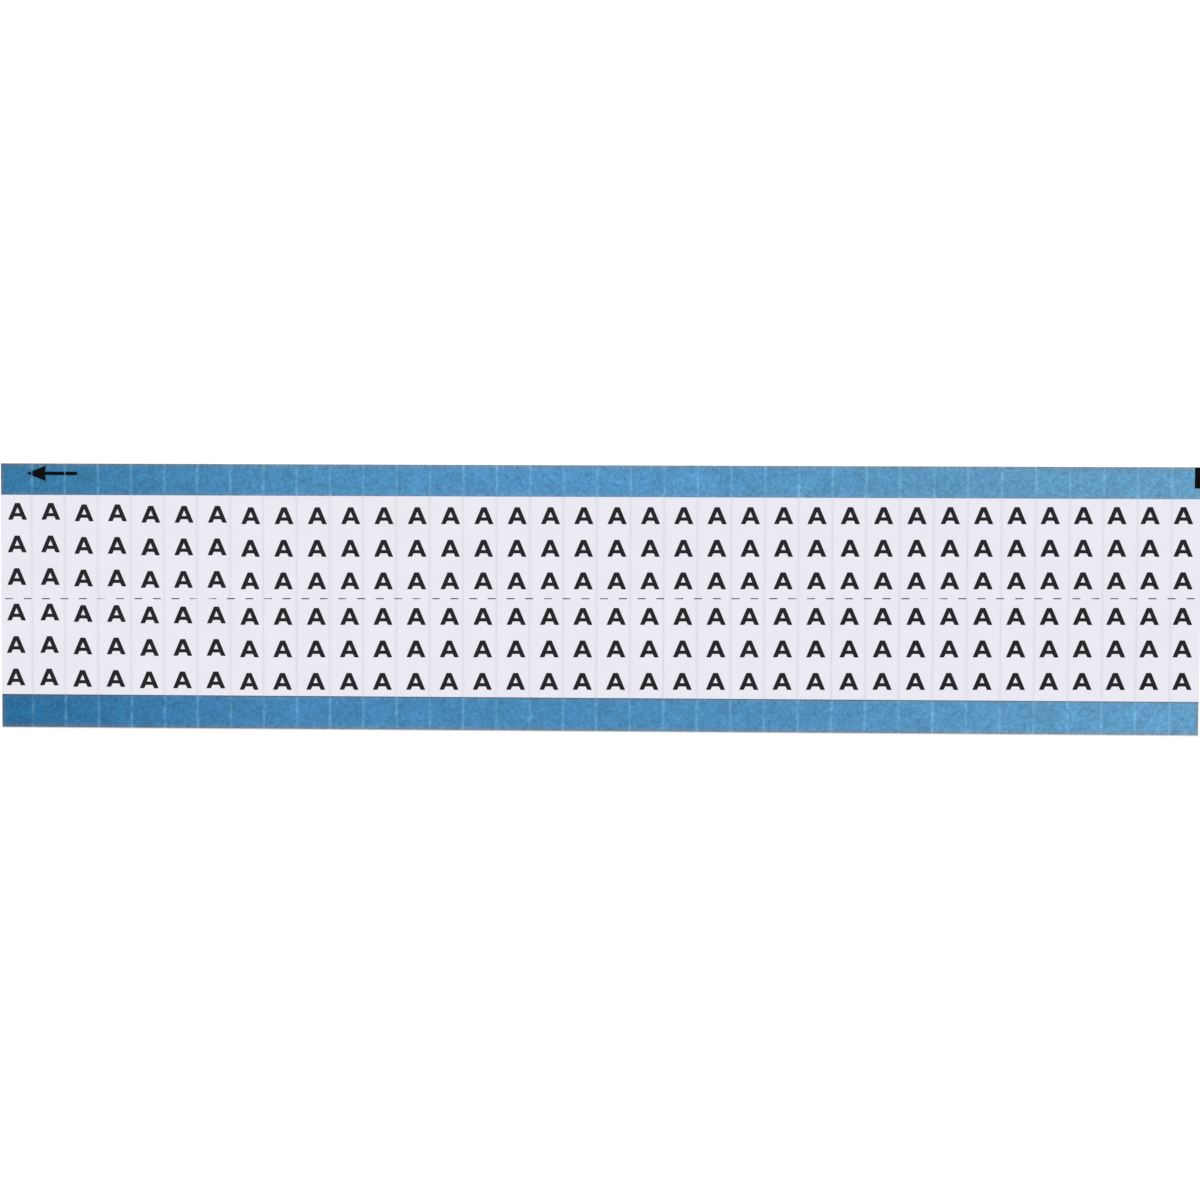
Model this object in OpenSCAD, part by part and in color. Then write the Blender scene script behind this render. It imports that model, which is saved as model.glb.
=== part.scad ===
// A card of wire markers: a row of self-adhesive cloth markers, kiss cut side by side on a
// coated card that shows as a plain border above and below them.
// The card lies on its back. X runs along the row, Y up the markers and Z out of the print.

/* [Markers] */
// Markers in the row
marker_count = 36; // [2:1:50]
// Pitch of the cuts, which is the width of one marker
marker_w = 6.35; // [5:0.05:12.7]
// Height of one marker
marker_h = 38.1; // [12:0.1:76.2]
// Thickness of the marker cloth with its adhesive
marker_t = 0.25; // [0.15:0.01:0.5]

/* [Card] */
// Border above the markers
border_top = 6; // [2:0.1:12]
// Border below the markers
border_bottom = 6.3; // [2:0.1:12]
// Thickness of the card
card_t = 0.25; // [0.15:0.01:0.6]
// Trimmed off the first marker and the card's left end
trim_left = 0.4; // [0:0.05:1.5]
// Trimmed off the last marker and the card's right end
trim_right = 0.9; // [0:0.05:1.5]

/* [Kiss cuts] */
// Gap between two markers at their face
cut_face_w = 0.02; // [0.02:0.01:0.2]
// Gap between two markers at the card
cut_foot_w = 0.01; // [0.01:0.01:0.04]
// Width of the edge that the die presses down along each cut
press_w = 0.5; // [0.15:0.05:1]
// How far that edge is pressed down
press_d = 0.04; // [0.01:0.01:0.1]
// Width of the score that the knife leaves in the card
score_w = 0.36; // [0.06:0.01:0.4]
// Depth of that score
score_d = 0.06; // [0.02:0.01:0.1]

/* [Perforation] */
// Pitch of the slits across the middle of the markers
slit_pitch = 3.556; // [2:0.002:6]
// Length of one slit
slit_l = 1.52; // [0.4:0.01:1.8]
// Width of one slit
slit_w = 0.2; // [0.05:0.01:0.3]
// Middle of the first slit, from the card's left end
slit_start = 1.5; // [0:0.01:3]
// Row of slits below the middle of the markers, halfway along the card
slit_drop = 0.2; // [-1:0.05:1]
// Angle between the row of slits and the row of markers
slit_skew = 0.3; // [-0.5:0.05:0.5]

/* [Colours] */
// Coat of the card
card_colour = "#528ebc"; // [#528ebc:Blue, #d8b94a:Yellow, #e9e6dd:Plain]
// Cloth of the markers
marker_colour = "#eceaf2"; // [#eceaf2:White, #f2d64b:Yellow]

/* [Hidden] */
// Size of the whole card
card_w = marker_count * marker_w - trim_left - trim_right;
card_h = border_bottom + marker_h + border_top;
// Middle of the markers, above the middle of the card
marker_y = (border_bottom - border_top) / 2;
// Slits along the whole row
slit_count = floor((card_w - slit_start) / slit_pitch) + 1;
// The last marker and the last cut between two markers, where the first marker is 0
last = marker_count - 1;
// How far a cutter stands out of what it cuts
over = 0.5;

// A marker's number with its leading zero
function two_digits(n) = str(n < 10 ? "0" : "", n);

// Name of a marker, counted from the left
function marker_name(i) = str("marker_", two_digits(i + 1));

// Place of a knife cut: cut 0 is left of the first marker
function cut_x(k) = k * marker_w - trim_left - card_w / 2;

// Middle of a slit, along the perforation
function slit_x(s) = slit_start + s * slit_pitch - card_w / 2;

// The three corners of one score, from left to right
function score_points(x) = [
    [x - score_w / 2, card_t],
    [x, card_t - score_d],
    [x + score_w / 2, card_t]
];

// End view of the card: a thin slab with a score under each cut
module card_section() {
    polygon(concat(
        [[-card_w / 2, 0], [-card_w / 2, card_t]],
        [for (k = [1 : last]) each score_points(cut_x(k))],
        [[card_w / 2, card_t], [card_w / 2, 0]]
    ));
}

// A section drawn in X and Z, run along Y and centred on it
module run_along_y(length) {
    rotate([90, 0, 0])
        linear_extrude(height = length, center = true)
            children();
}

module backing_card() {
    color(card_colour)
        run_along_y(card_h)
            card_section();
}

// Left side of a marker, from the card up: plain at the card's end, pressed down along a cut
function left_side(i) = i == 0
    ? [[-card_w / 2, 0], [-card_w / 2, marker_t]]
    : [
        [cut_x(i) + cut_foot_w / 2, 0],
        [cut_x(i) + cut_face_w / 2, marker_t - press_d],
        [cut_x(i) + press_w, marker_t]
    ];

// Right side of a marker, from its face down
function right_side(i) = i == last
    ? [[card_w / 2, marker_t], [card_w / 2, 0]]
    : [
        [cut_x(i + 1) - press_w, marker_t],
        [cut_x(i + 1) - cut_face_w / 2, marker_t - press_d],
        [cut_x(i + 1) - cut_foot_w / 2, 0]
    ];

module marker_section(i) {
    polygon(concat(left_side(i), right_side(i)));
}

// The slits that can reach marker i, as cutters longer than the cloth is thick
module slits(i) {
    middle = cut_x(i + 0.5);
    reach = (marker_w + slit_l) / 2 + over;
    rotate([0, 0, slit_skew])
        for (s = [0 : slit_count - 1])
            if (abs(slit_x(s) - middle) < reach)
                translate([slit_x(s), -slit_drop, marker_t / 2])
                    cube([slit_l, slit_w, marker_t + 2 * over], center = true);
}

module marker(i) {
    color(marker_colour)
        translate([0, marker_y, card_t])
            difference() {
                run_along_y(marker_h)
                    marker_section(i);
                slits(i);
            }
}

backing_card();
for (i = [0 : last])
    marker(i);
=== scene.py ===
"""Dresses the wire marker card: a coated blue card, white cloth markers and their black print."""
import math

import bmesh
import bpy
from mathutils import Matrix, Vector


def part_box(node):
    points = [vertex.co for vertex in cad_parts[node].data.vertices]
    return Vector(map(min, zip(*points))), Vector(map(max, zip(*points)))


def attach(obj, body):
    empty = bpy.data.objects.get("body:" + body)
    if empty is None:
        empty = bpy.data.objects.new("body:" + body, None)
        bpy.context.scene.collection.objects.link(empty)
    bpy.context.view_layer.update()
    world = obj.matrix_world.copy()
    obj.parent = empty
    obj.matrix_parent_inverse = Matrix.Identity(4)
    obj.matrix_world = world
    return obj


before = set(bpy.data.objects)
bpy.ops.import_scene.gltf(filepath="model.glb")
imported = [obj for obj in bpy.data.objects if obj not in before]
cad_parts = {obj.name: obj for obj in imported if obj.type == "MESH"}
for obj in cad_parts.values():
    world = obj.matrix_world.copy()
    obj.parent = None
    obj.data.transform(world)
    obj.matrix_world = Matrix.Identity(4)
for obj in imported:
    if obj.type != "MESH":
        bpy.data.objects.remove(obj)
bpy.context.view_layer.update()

MM = 0.001
CARD = "backing_card"
MARKERS = sorted(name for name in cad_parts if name.startswith("marker_"))
CARD_LOW, CARD_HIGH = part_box(CARD)
ROW_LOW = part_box(MARKERS[0])[0]
ROW_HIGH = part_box(MARKERS[-1])[1]
ROW_MIDDLE_Y = (ROW_LOW.y + ROW_HIGH.y) / 2
FIRST_CUT = (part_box(MARKERS[0])[1].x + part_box(MARKERS[1])[0].x) / 2
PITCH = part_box(MARKERS[2])[0].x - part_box(MARKERS[1])[0].x

# Camera, in millimetres and degrees: almost straight above the card, a little up and to the right
CAMERA_LENS = 75.0
CAMERA_AT = Vector((18.29, 19.26, 473.43)) * MM
CAMERA_TURN = (-2.358, 2.118, 0.219)
CAMERA_NEAR, CAMERA_FAR = 10 * MM, 50000 * MM

# Light: shares that add up to 1 on a level surface, so that a colour renders as it is written
SUN_SHARE = 0.45
SUN_HEIGHT = math.radians(52)
SUN_BEARING = math.radians(100)
SUN_SPREAD = math.radians(25)
SKY_SHARE = 1 - SUN_SHARE

# Floor: its side and its drop below the card in metres, its white, and the light it adds where looked at
FLOOR_SIZE = 6.0
FLOOR_DROP = 0.02 * MM
FLOOR_WHITE = 0.95
FLOOR_LIFT = 0.1

# Colours: the coat goes from the card's left end to its right, above the markers and below them, darker at
# the left as painted shade and paler to the right as a painted sheen
UPPER_COAT_PAINTED_LIGHT = ("#2a729d", "#478ab7", "#4e90c2", "#5593bc", "#609cc3")
LOWER_COAT_PAINTED_LIGHT = ("#1e6696", "#4082b3", "#4487b6", "#5190bc", "#609dc7")
CORE_PAPER = "#dcd9d2"
CLOTH = "#eceaf2"
CLOTH_CUT = "#efedf3"
# The perforation's dark colour is painted shadow, on the slits' walls and on the card beneath them
SLIT_PAINTED_SHADOW = "#2b2a2e"
LEGEND_INK = "#121114"
CARD_INK = "#020204"

# What a rubbed score adds to the coat, in linear values
SCORE_VEIL = (0.075, 0.14, 0.17)

# Textures: where most of a noise lies, the detail of a fine one, and a wave's length at a scale of 1
NOISE_SPREAD = (0.3, 0.7)
FINE_DETAIL = 3.0
WAVE_LENGTH = math.tau / 20

# Upward part of a face's normal: at the first the face counts as level, at the second as a side
LEVEL_NORMAL, SIDE_NORMAL = 0.6, 0.4

# Finish of the card: sizes in millimetres, and how far each mottle goes above and below the plain colour
PATCH_SIZE, PATCH_DEPTH = 4.0, 0.08
SPECK_SIZE, SPECK_DEPTH = 0.7, 0.15
GRAIN_SIZE, GRAIN_DEPTH = 0.4, 0.16
PULP_SIZE, PULP_DEPTH = 2.5, 0.06
FIBRE_SIZE, FIBRE_DEPTH, FIBRE_RELIEF = 0.15, 0.1, 0.004
GLOSS_SIZE = 2.0
COAT_ROUGHNESS = (0.34, 0.46)
PAPER_ROUGHNESS = 0.85
SHEEN = 0.2

# Wear of the card, and the painted shade beside the markers: full at the first distance from an edge, the
# markers or a score, in millimetres, gone at the second
EDGE_WEAR_AND_SHADE_FULL, EDGE_WEAR_AND_SHADE_GONE = 0.2, 0.9
SCORE_WORN, SCORE_SOUND = 0.08, 0.4

# Faded coat at the card's edges and painted shade beside the markers: the strength of each, and their
# brightness and saturation
EDGE_FADE, ROW_PAINTED_SHADE = 0.9, 0.5
FADE_AND_SHADE_VALUE, FADE_AND_SHADE_SATURATION = 0.74, 0.7

# Rubbed stretches of a score: their size in millimetres, the range of noise and the wear at its two ends
SCORE_BREAK = 1.5
SCORE_NOISE = (0.35, 0.65)
SCORE_RUBBED = (0.25, 0.9)

# Finish of the cloth and the ink: sizes in millimetres, shades as shares of the plain brightness
THREAD = 0.28
THREAD_RELIEF = 0.006
WEAVE_SHADE = 0.985
CLOTH_ROUGHNESS = (0.62, 0.55)
CLOUD_SIZE, CLOUD_DEPTH = 9.0, 0.012
# Painted shade beside each knife cut, where the die pressed the cloth down: full at the first distance,
# gone at the second, and its depth
PRESS_DEEP, PRESS_END = 0.1, 0.65
PRESS_PAINTED_SHADE = 0.961
INK_GRAIN, INK_RELIEF = 0.3, 0.003
INK_SHADE = (0.8, 1.5)
INK_ROUGHNESS = (0.45, 0.65)
LEGEND_SHEEN = 0.15
CARD_INK_SHEEN = 0.05

# Perforation, in millimetres: its line as the CAD has it
SLIT_DROP = 0.2
SLIT_SKEW = math.radians(0.3)
SLIT_REACH = 0.13

# Runs of slits that have closed up, where the painted shadow is paler: their length in millimetres and the
# noise from closed to open
SLIT_RUN = 6.0
SLIT_NOISE = (0.35, 0.5)

# Print, in millimetres: how high it stands and how far it goes into the face
INK_T = 0.008
INK_SUNK = 0.003

# Letters, and their rows above the middle of the print; those below are the mirror image
LETTER_H = 3.22
LETTER_ROUND = 0.12
COUNTER_ROUND = 0.03
LETTER_ROWS = (3.37, 9.54, 15.71)

# Print to the right of a marker's middle: halfway along the row, added to the right, added to both ends
LEGEND_SHIFT, LEGEND_DRIFT, LEGEND_BOW = 0.572, -0.59, -0.95

# Top letters to the right of the middle of the print: halfway along the row, added to the right
LEGEND_LEAN, LEGEND_TWIST = 0.094, -0.152

# Print up and down: its drop below the markers' middle, its climb, and the top letters' lift to the right
LEGEND_DROP = 0.194
LEGEND_SKEW = math.radians(0.305)
LEGEND_FAN = -0.125

# The print is one step higher in the columns before each of these, counted from 0
LEGEND_STEP = 0.28
STEP_COLUMNS = (2, 4, 7)

# Arrow and end mark
ARROW_TIP = 4.9
ARROW_HEAD = 3.8
ARROW_HEAD_H = 3.0
ARROW_NOTCH = 0.2
ARROW_LENGTH = 9.75
ARROW_SHAFT_H = 0.66
ARROW_BELOW_EDGE = 1.89
ARROW_BREAK = 0.2
END_MARK_W = 1.2
END_MARK_H = 3.95
END_MARK_INSET = 0.04
END_MARK_ROUND = 0.06


def linear(code):
    """A colour written as #rrggbb, as linear values with alpha."""
    def channel(text):
        value = int(text, 16) / 255
        return value / 12.92 if value <= 0.04045 else ((value + 0.055) / 1.055) ** 2.4
    return (channel(code[1:3]), channel(code[3:5]), channel(code[5:7]), 1.0)


# Node helpers


def add(tree, kind, inputs=None, **settings):
    """A new shader node: settings are its properties, inputs its sockets, each a value or a link."""
    made = tree.nodes.new("ShaderNode" + kind)
    for key, value in settings.items():
        setattr(made, key, value)
    for key, value in (inputs or {}).items():
        if isinstance(value, bpy.types.NodeSocket):
            tree.links.new(value, made.inputs[key])
        else:
            made.inputs[key].default_value = value
    return made


def math_node(tree, operation, first, second=0.0):
    """The result of an operation on one or two numbers, each a value or a link."""
    return add(tree, "Math", {0: first, 1: second}, operation=operation).outputs[0]


def remap(tree, value, low, high, to_low=0.0, to_high=1.0, course="LINEAR"):
    """Takes low to to_low and high to to_high, in a straight line or another course, and no further."""
    inputs = {"Value": value, "From Min": low, "From Max": high, "To Min": to_low, "To Max": to_high}
    return add(tree, "MapRange", inputs, interpolation_type=course).outputs["Result"]


def mix(tree, factor, first, second):
    """A colour between two others, each a colour or an output."""
    inputs = {0: factor, 6: first, 7: second}
    return add(tree, "Mix", inputs, data_type="RGBA").outputs[2]


def noise(tree, place, size, detail=2.0):
    """Noise with features of about the given size in millimetres, from 0 to 1."""
    inputs = {"Vector": place, "Scale": 1 / (size * MM), "Detail": detail}
    return add(tree, "TexNoise", inputs).outputs["Fac"]


def spread(tree, value, low, high):
    """Takes a noise, which lies mostly round its middle, to the whole range from low to high."""
    return remap(tree, value, *NOISE_SPREAD, low, high)


def mottle(tree, value, depth):
    """Brightness that wanders round 1 with a noise, by depth at most."""
    return spread(tree, value, 1 - depth, 1 + depth)


def ramp(tree, factor, codes):
    """Even steps through a list of colours."""
    made = add(tree, "ValToRGB", {"Fac": factor})
    stops = made.color_ramp.elements
    while len(stops) < len(codes):
        stops.new(0.5)
    for number, code in enumerate(codes):
        stops[number].position = number / (len(codes) - 1)
        stops[number].color = linear(code)
    return made.outputs["Color"]


def brighten(tree, colour, value, saturation=1.0):
    """A colour with its brightness and its saturation each taken so many times."""
    inputs = {"Color": colour, "Value": value, "Saturation": saturation}
    return add(tree, "HueSaturation", inputs).outputs["Color"]


def new_material(name):
    """A new material, with its node tree, its shader and the place of a point in the frame."""
    material = bpy.data.materials.new(name)
    material.use_nodes = True
    tree = material.node_tree
    place = add(tree, "TexCoord").outputs["Object"]
    return material, tree, tree.nodes["Principled BSDF"], place


def split(tree, vector):
    """The X, Y and Z of a vector."""
    return add(tree, "SeparateXYZ", {0: vector}).outputs


def slope(tree):
    """The parts of a face's normal along X, Y and Z."""
    return split(tree, add(tree, "NewGeometry").outputs["True Normal"])


def not_level(tree, normal):
    """1 on a side or the back, 0 on a face that looks up."""
    return remap(tree, normal[2], LEVEL_NORMAL, SIDE_NORMAL)


def finish(tree, shader, colour, roughness, specular):
    """Gives the shader its colour, its roughness and the strength of its sheen."""
    tree.links.new(colour, shader.inputs["Base Color"])
    tree.links.new(roughness, shader.inputs["Roughness"])
    shader.inputs["Specular IOR Level"].default_value = specular


def add_bump(tree, shader, height, relief):
    """Gives the shader a relief of so many millimetres."""
    bump = add(tree, "Bump", {"Height": height, "Distance": relief * MM, "Strength": 1.0})
    tree.links.new(bump.outputs["Normal"], shader.inputs["Normal"])


# Places on the card


def from_cut(tree, x):
    """Distance along the row to the nearest knife cut."""
    return math_node(tree, "PINGPONG", math_node(tree, "SUBTRACT", x, FIRST_CUT), PITCH / 2)


def from_card_edge(tree, x, y):
    """Distance to the nearest edge of the card."""
    from_end = math_node(tree, "SUBTRACT", CARD_HIGH.x, math_node(tree, "ABSOLUTE", x))
    from_side = math_node(tree, "SUBTRACT", CARD_HIGH.y, math_node(tree, "ABSOLUTE", y))
    return math_node(tree, "MINIMUM", from_end, from_side)


def from_row(tree, y):
    """Distance from the markers, up or down the card."""
    away = math_node(tree, "ABSOLUTE", math_node(tree, "SUBTRACT", y, ROW_MIDDLE_Y))
    return math_node(tree, "SUBTRACT", away, ROW_HIGH.y - ROW_MIDDLE_Y)


def near_slits(tree, x, y):
    """1 along the line of the perforation, 0 a little above and below it."""
    climb = math_node(tree, "MULTIPLY", x, math.tan(SLIT_SKEW))
    line = math_node(tree, "ADD", climb, ROW_MIDDLE_Y - SLIT_DROP * MM)
    away = math_node(tree, "ABSOLUTE", math_node(tree, "SUBTRACT", y, line))
    return math_node(tree, "LESS_THAN", away, SLIT_REACH * MM)


# Materials


def slit_painted_shadow(tree, place):
    """Painted shadow in most slits, paler over short runs of the row where they have closed up."""
    gaping = remap(tree, noise(tree, place, SLIT_RUN), *SLIT_NOISE)
    return mix(tree, gaping, linear(CLOTH_CUT), linear(SLIT_PAINTED_SHADOW))


def mottled_coat(tree, place, x, y):
    """The blue coat, with painted shade at the left and a painted sheen towards the right, in soft
    patches, specks and a fine grain.
    """
    along = remap(tree, x, CARD_LOW.x, CARD_HIGH.x)
    above = remap(tree, y, ROW_LOW.y, ROW_HIGH.y)
    # The ramps paint shade at the card's left end and a sheen towards its right
    coat = mix(tree, above, ramp(tree, along, LOWER_COAT_PAINTED_LIGHT), ramp(tree, along, UPPER_COAT_PAINTED_LIGHT))
    patches = mottle(tree, noise(tree, place, PATCH_SIZE), PATCH_DEPTH)
    specks = mottle(tree, noise(tree, place, SPECK_SIZE), SPECK_DEPTH)
    grain = mottle(tree, noise(tree, place, GRAIN_SIZE), GRAIN_DEPTH)
    spots = math_node(tree, "MULTIPLY", specks, grain)
    return brighten(tree, coat, math_node(tree, "MULTIPLY", patches, spots))


def wear_and_shade_share(tree, distance, share):
    """The share of wear at a card edge, or of painted shade beside the markers, falling to nothing a
    little way in.
    """
    return remap(tree, distance, EDGE_WEAR_AND_SHADE_FULL * MM, EDGE_WEAR_AND_SHADE_GONE * MM, share, 0.0)


def faded_and_shaded_coat(tree, x, y, coat):
    """The coat, dull along the card's edges where worn, and a little darker along the markers as painted
    shade.
    """
    by_edge = wear_and_shade_share(tree, from_card_edge(tree, x, y), EDGE_FADE)
    # Painted shade on the coat beside the markers
    row_painted_shade = wear_and_shade_share(tree, from_row(tree, y), ROW_PAINTED_SHADE)
    dull = brighten(tree, coat, FADE_AND_SHADE_VALUE, FADE_AND_SHADE_SATURATION)
    return mix(tree, math_node(tree, "MAXIMUM", by_edge, row_painted_shade), coat, dull)


def rubbed_coat(tree, place, x, coat):
    """The coat, rubbed pale in stretches along the scores."""
    rubbed = add(tree, "VectorMath", {0: coat, 1: SCORE_VEIL}, operation="ADD").outputs[0]
    cut = from_cut(tree, x)
    beside = remap(tree, cut, SCORE_WORN * MM, SCORE_SOUND * MM, 1.0, 0.0, "SMOOTHSTEP")
    broken = remap(tree, noise(tree, place, SCORE_BREAK, FINE_DETAIL), *SCORE_NOISE, *SCORE_RUBBED)
    return mix(tree, math_node(tree, "MULTIPLY", beside, broken), coat, rubbed)


def bare_paper(tree, place, fibre):
    """Uncoated paper, cloudy and a little fibrous."""
    pulp = mottle(tree, noise(tree, place, PULP_SIZE), PULP_DEPTH)
    strands = mottle(tree, fibre, FIBRE_DEPTH)
    return brighten(tree, linear(CORE_PAPER), math_node(tree, "MULTIPLY", pulp, strands))


def card_material():
    """Blue coat on the face, with painted light along it and beside the markers, and painted shadow in the
    perforation; bare fibrous paper on the sides and the back.
    """
    material, tree, shader, place = new_material("coated_card")
    x, y, _ = split(tree, place)
    coat = faded_and_shaded_coat(tree, x, y, mottled_coat(tree, place, x, y))
    coat = rubbed_coat(tree, place, x, coat)
    # Painted shadow on the card under the perforation
    coat = mix(tree, near_slits(tree, x, y), coat, slit_painted_shadow(tree, place))
    fibre = noise(tree, place, FIBRE_SIZE, FINE_DETAIL)
    bare = not_level(tree, slope(tree))
    gloss = spread(tree, noise(tree, place, GLOSS_SIZE), *COAT_ROUGHNESS)
    rough = add(tree, "Mix", {0: bare, 2: gloss, 3: PAPER_ROUGHNESS}).outputs[0]
    finish(tree, shader, mix(tree, bare, coat, bare_paper(tree, place, fibre)), rough, SHEEN)
    add_bump(tree, shader, fibre, FIBRE_RELIEF)
    return material


def woven(tree, place):
    """A plain weave: 1 where two threads cross, 0 between the threads."""
    inputs = {"Vector": place, "Scale": WAVE_LENGTH / (THREAD * MM)}
    warp = add(tree, "TexWave", inputs, bands_direction="X").outputs["Fac"]
    weft = add(tree, "TexWave", inputs, bands_direction="Y").outputs["Fac"]
    return math_node(tree, "MULTIPLY", warp, weft)


def cloth_face(tree, place, x, weave):
    """The cloth's white, faintly clouded, darker between the threads, with painted shade along each knife
    cut where the die pressed it down.
    """
    cloud = mottle(tree, noise(tree, place, CLOUD_SIZE), CLOUD_DEPTH)
    shade = math_node(tree, "MULTIPLY", cloud, remap(tree, weave, 0, 1, WEAVE_SHADE, 1.0))
    cut = from_cut(tree, x)
    # Painted shade along each knife cut
    painted_press_shade = remap(tree, cut, PRESS_DEEP * MM, PRESS_END * MM, PRESS_PAINTED_SHADE, 1.0, "SMOOTHSTEP")
    return brighten(tree, linear(CLOTH), math_node(tree, "MULTIPLY", shade, painted_press_shade))


def cloth_wall(tree, place, x, y, normal):
    """The cut sides of the cloth: pale at a marker's edges, with painted shadow along the perforation."""
    along_slit = math_node(tree, "ABSOLUTE", normal[1])
    in_slit = math_node(tree, "MULTIPLY", near_slits(tree, x, y), along_slit)
    # Painted shadow on the walls of the slits
    return mix(tree, in_slit, linear(CLOTH_CUT), slit_painted_shadow(tree, place))


def cloth_material():
    """White coated cloth: a fine weave, painted shade where the die pressed it down, painted shadow in the
    perforation.
    """
    material, tree, shader, place = new_material("marker_cloth")
    x, y, _ = split(tree, place)
    normal = slope(tree)
    weave = woven(tree, place)
    face = cloth_face(tree, place, x, weave)
    wall = cloth_wall(tree, place, x, y, normal)
    rough = remap(tree, weave, 0, 1, *CLOTH_ROUGHNESS)
    finish(tree, shader, mix(tree, not_level(tree, normal), face, wall), rough, SHEEN)
    add_bump(tree, shader, weave, THREAD_RELIEF)
    return material


def ink_material(name, code, specular):
    """Black printing ink, a little thin in places."""
    material, tree, shader, place = new_material(name)
    grain = noise(tree, place, INK_GRAIN, FINE_DETAIL)
    colour = brighten(tree, linear(code), spread(tree, grain, *INK_SHADE))
    finish(tree, shader, colour, remap(tree, grain, 0, 1, *INK_ROUGHNESS), specular)
    add_bump(tree, shader, grain, INK_RELIEF)
    return material


# Print


def rounded(points, radius, steps=4):
    """An outline with each corner eased by a small curve."""
    outline = []
    for number, corner in enumerate(points):
        before = points[number - 1] - corner
        after = points[(number + 1) % len(points)] - corner
        start = corner + before.normalized() * min(radius, before.length / 3)
        end = corner + after.normalized() * min(radius, after.length / 3)
        for step in range(steps + 1):
            t = step / steps
            outline.append(start * (1 - t) ** 2 + corner * 2 * t * (1 - t) + end * t ** 2)
    return outline


def letter_outlines(height):
    """The block letter round the origin: its outline and its counter, drawn from shares of its height."""
    apex, foot = 0.147, 0.57
    leg, shoulder = 0.28, 0.263
    bar_top, bar_foot = -0.098, -0.297
    lean = foot - apex

    def inner(y, stroke):
        return foot - stroke - lean * (y + 0.5)

    right = [(apex, 0.5), (foot, -0.5), (foot - leg, -0.5), (inner(bar_foot, leg), bar_foot)]
    left = [(-x, y) for x, y in reversed(right)]
    corner = inner(bar_top, shoulder)
    counter = [(0, (foot - shoulder) / lean - 0.5), (-corner, bar_top), (corner, bar_top)]
    return [[Vector(p) * height for p in loop] for loop in (right + left, counter)]


def prism(loops, thickness):
    """A flat closed mesh between outlines that lie in XY, from z = 0 up."""
    mesh = bmesh.new()
    edges = []
    for loop in loops:
        verts = [mesh.verts.new((p.x, p.y, 0)) for p in loop]
        edges += [mesh.edges.new(pair) for pair in zip(verts, verts[1:] + verts[:1])]
    bmesh.ops.triangle_fill(mesh, use_beauty=True, edges=edges)
    raised = bmesh.ops.extrude_face_region(mesh, geom=mesh.faces[:])["geom"]
    top = [part for part in raised if isinstance(part, bmesh.types.BMVert)]
    bmesh.ops.translate(mesh, vec=(0, 0, thickness), verts=top)
    bmesh.ops.recalc_face_normals(mesh, faces=mesh.faces[:])
    return mesh


def ink_mesh(name, shapes, face_z):
    """Print on a face at face_z: shapes are outlines and the place of each, in millimetres."""
    whole = bmesh.new()
    for loops, (x, y) in shapes:
        part = prism(loops, INK_T + INK_SUNK)
        place = Matrix.Translation((x * MM, y * MM, face_z - INK_SUNK * MM)) @ Matrix.Scale(MM, 4)
        part.transform(place)
        carrier = bpy.data.meshes.new(name + "_part")
        part.to_mesh(carrier)
        part.free()
        whole.from_mesh(carrier)
        bpy.data.meshes.remove(carrier)
    mesh = bpy.data.meshes.new(name)
    whole.to_mesh(mesh)
    whole.free()
    return mesh


def ink_piece(name, shapes, face_z, material):
    """One piece of print, which stays with the card."""
    mesh = ink_mesh(name, shapes, face_z)
    mesh.materials.append(material)
    piece = bpy.data.objects.new(name, mesh)
    bpy.context.scene.collection.objects.link(piece)
    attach(piece, "root")


def letter_place(column, row_y):
    """Where a letter goes: the print drifts along the row, climbs, and steps up at the left end."""
    middle = (FIRST_CUT + PITCH * (column - 0.5)) / MM
    along = 2 * column / (len(MARKERS) - 1) - 1
    up = row_y / LETTER_ROWS[-1]
    drift = LEGEND_SHIFT + LEGEND_DRIFT * along + LEGEND_BOW * along ** 2
    lean = (LEGEND_LEAN + LEGEND_TWIST * along) * up
    x = middle + drift + lean
    steps = sum(column < limit for limit in STEP_COLUMNS)
    climb = x * math.tan(LEGEND_SKEW) + steps * LEGEND_STEP
    fan = LEGEND_FAN * along * up
    y = ROW_MIDDLE_Y / MM - LEGEND_DROP + row_y + climb + fan
    return x, y


def add_legends(material):
    """The same letter six times on each marker, three above the perforation and three below."""
    outer, counter = letter_outlines(LETTER_H)
    loops = [rounded(outer, LETTER_ROUND), rounded(counter, COUNTER_ROUND)]
    rows = [side * row for side in (1, -1) for row in LETTER_ROWS]
    for column, marker in enumerate(MARKERS):
        shapes = [(loops, letter_place(column, row)) for row in rows]
        ink_piece(marker.replace("marker", "legend"), shapes, ROW_HIGH.z, material)


def both_halves(upper):
    """An outline from its upper half, mirrored in the X axis."""
    return upper + [(x, -y) for x, y in reversed(upper)]


def arrow_outlines(tip):
    """An arrow along the X axis that points to the left, in three parts with a gap at each knife cut."""
    half_head, half_shaft = ARROW_HEAD_H / 2, ARROW_SHAFT_H / 2
    half_break = ARROW_BREAK / 2
    head_back = tip + ARROW_HEAD
    end = tip + ARROW_LENGTH
    first_cut = FIRST_CUT / MM
    second_cut = (FIRST_CUT + PITCH) / MM

    def half_height(x):
        return (x - tip) / ARROW_HEAD * half_head

    before = first_cut - half_break
    after = first_cut + half_break
    point = [(tip, 0), (before, half_height(before)), (before, -half_height(before))]
    head = both_halves([
        (after, half_height(after)),
        (head_back, half_head),
        (head_back - ARROW_NOTCH, half_shaft),
        (second_cut - half_break, half_shaft),
    ])
    tail = both_halves([(second_cut + half_break, half_shaft), (end, half_shaft)])
    return [[Vector(p) for p in outline] for outline in (point, head, tail)]


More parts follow.
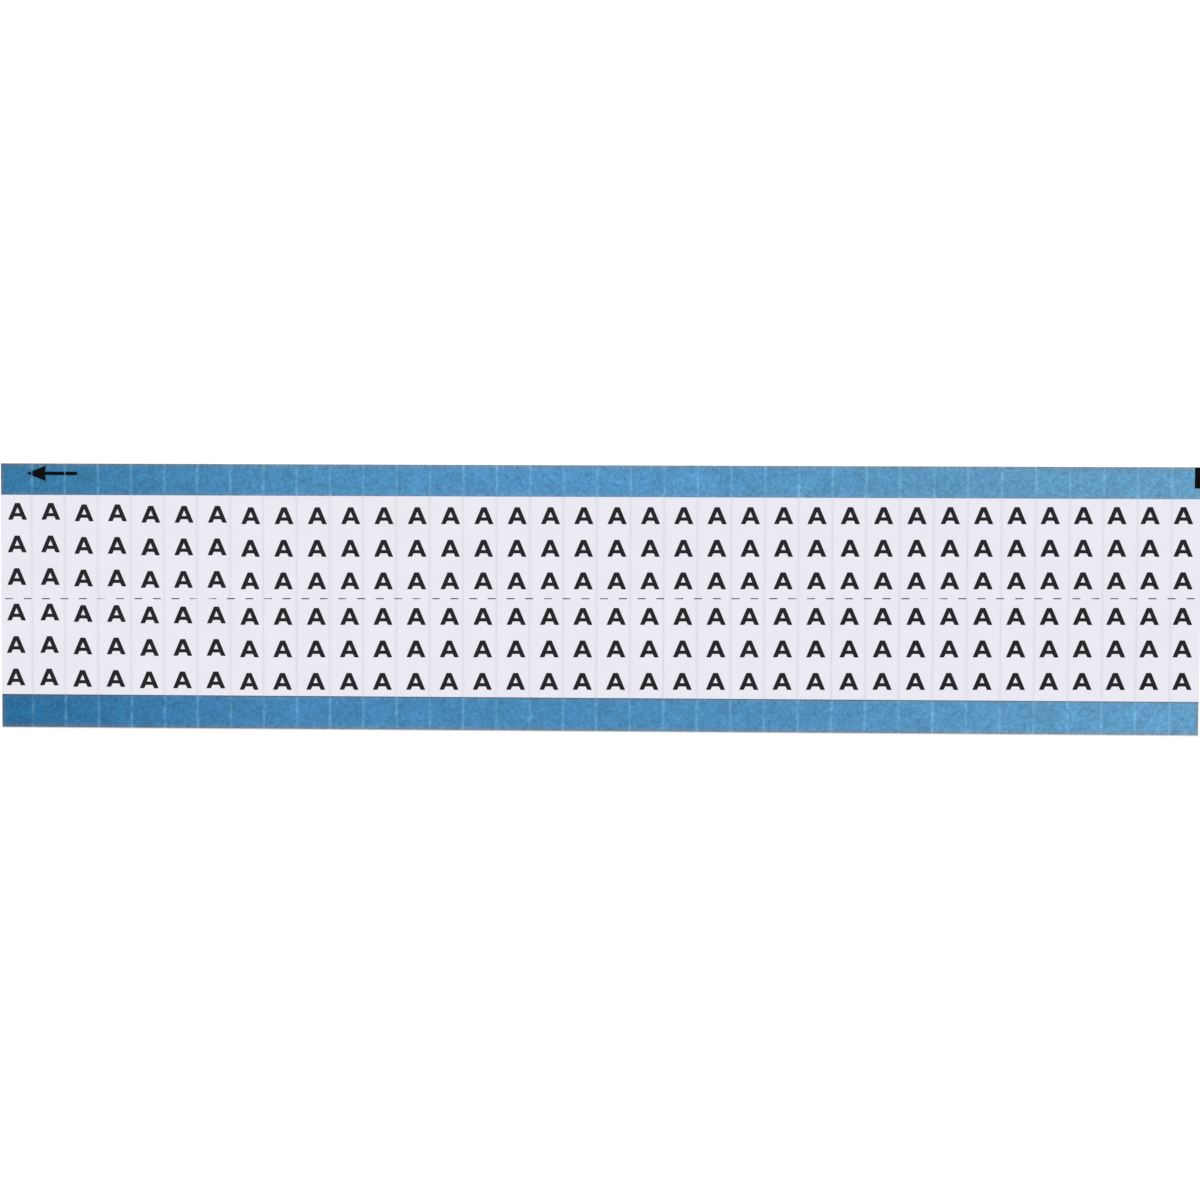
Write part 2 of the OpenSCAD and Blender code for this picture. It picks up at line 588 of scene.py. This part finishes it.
def add_arrow(material):
    """An arrow that points to the card's left end, broken where the knife scored through it."""
    tip = CARD_LOW.x / MM + ARROW_TIP
    middle = CARD_HIGH.y / MM - ARROW_BELOW_EDGE
    shapes = [([outline], (0, middle)) for outline in arrow_outlines(tip)]
    ink_piece("start_arrow", shapes, CARD_HIGH.z, material)


def add_end_mark(material):
    """The black mark in the top right corner of the card."""
    right = CARD_HIGH.x / MM - END_MARK_INSET
    top = CARD_HIGH.y / MM - END_MARK_INSET
    corners = [(0, 0), (-END_MARK_W, 0), (-END_MARK_W, -END_MARK_H), (0, -END_MARK_H)]
    outline = rounded([Vector(p) for p in corners], END_MARK_ROUND)
    ink_piece("end_mark", [([outline], (right, top))], CARD_HIGH.z, material)


# Studio


def seen_directly(tree):
    """1 for a ray from the camera or from a mirror or glass, 0 for one that carries light."""
    path = add(tree, "LightPath").outputs
    mirror = math_node(tree, "MAXIMUM", path["Is Glossy Ray"], path["Is Transmission Ray"])
    return math_node(tree, "MAXIMUM", path["Is Camera Ray"], mirror)


def floor_material():
    """Matt white, lifted to plain white where it is looked at."""
    material = bpy.data.materials.new("floor")
    material.use_nodes = True
    tree = material.node_tree
    tree.nodes.remove(tree.nodes["Principled BSDF"])
    white = (FLOOR_WHITE, FLOOR_WHITE, FLOOR_WHITE, 1)
    matt = add(tree, "BsdfDiffuse", {"Color": white}).outputs[0]
    lift = math_node(tree, "MULTIPLY", seen_directly(tree), FLOOR_LIFT)
    glow = add(tree, "Emission", {"Strength": lift}).outputs[0]
    both = add(tree, "AddShader", {0: matt, 1: glow}).outputs[0]
    tree.links.new(both, tree.nodes["Material Output"].inputs["Surface"])
    return material


def add_floor():
    """A white floor that keeps the card's shadow."""
    half = FLOOR_SIZE / 2
    square = ((-half, -half), (half, -half), (half, half), (-half, half))
    corners = [(x, y, -FLOOR_DROP) for x, y in square]
    mesh = bpy.data.meshes.new("floor")
    mesh.from_pydata(corners, [], [(0, 1, 2, 3)])
    mesh.materials.append(floor_material())
    floor = bpy.data.objects.new("floor", mesh)
    bpy.context.scene.collection.objects.link(floor)


def add_sky():
    """An even white sky, at full white where it is looked at."""
    world = bpy.data.worlds.new("studio")
    world.use_nodes = True
    tree = world.node_tree
    tree.nodes.clear()
    white = (1, 1, 1, 1)
    light = add(tree, "Background", {"Color": white, "Strength": SKY_SHARE}).outputs[0]
    seen = add(tree, "Background", {"Color": white, "Strength": 1.0}).outputs[0]
    both = add(tree, "MixShader", {0: seen_directly(tree), 1: light, 2: seen}).outputs[0]
    add(tree, "OutputWorld", {"Surface": both})
    bpy.context.scene.world = world


def add_lamp():
    """A broad soft lamp, from beyond the card's top edge."""
    sun = bpy.data.lights.new("soft_lamp", "SUN")
    sun.energy = SUN_SHARE * math.pi / math.sin(SUN_HEIGHT)
    sun.angle = SUN_SPREAD
    lamp = bpy.data.objects.new("soft_lamp", sun)
    flat = Vector((math.cos(SUN_BEARING), math.sin(SUN_BEARING), 0))
    from_lamp = -(flat * math.cos(SUN_HEIGHT) + Vector((0, 0, math.sin(SUN_HEIGHT))))
    lamp.rotation_euler = from_lamp.to_track_quat("-Z", "Y").to_euler()
    bpy.context.scene.collection.objects.link(lamp)


def add_camera():
    """The camera of the photo's view."""
    lens = bpy.data.cameras.new("camera")
    lens.lens = CAMERA_LENS
    lens.clip_start = CAMERA_NEAR
    lens.clip_end = CAMERA_FAR
    camera = bpy.data.objects.new("camera", lens)
    camera.location = CAMERA_AT
    camera.rotation_euler = [math.radians(turn) for turn in CAMERA_TURN]
    bpy.context.scene.collection.objects.link(camera)
    bpy.context.scene.camera = camera


def dress(node, material):
    """Gives a node of the frame its finish, in place of the plain one that it came with."""
    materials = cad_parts[node].data.materials
    materials.clear()
    materials.append(material)


dress(CARD, card_material())
cloth = cloth_material()
for marker in MARKERS:
    dress(marker, cloth)
add_legends(ink_material("legend_ink", LEGEND_INK, LEGEND_SHEEN))
card_ink = ink_material("card_ink", CARD_INK, CARD_INK_SHEEN)
add_arrow(card_ink)
add_end_mark(card_ink)
add_floor()
add_sky()
add_lamp()
add_camera()
bpy.context.scene.view_settings.view_transform = "Standard"
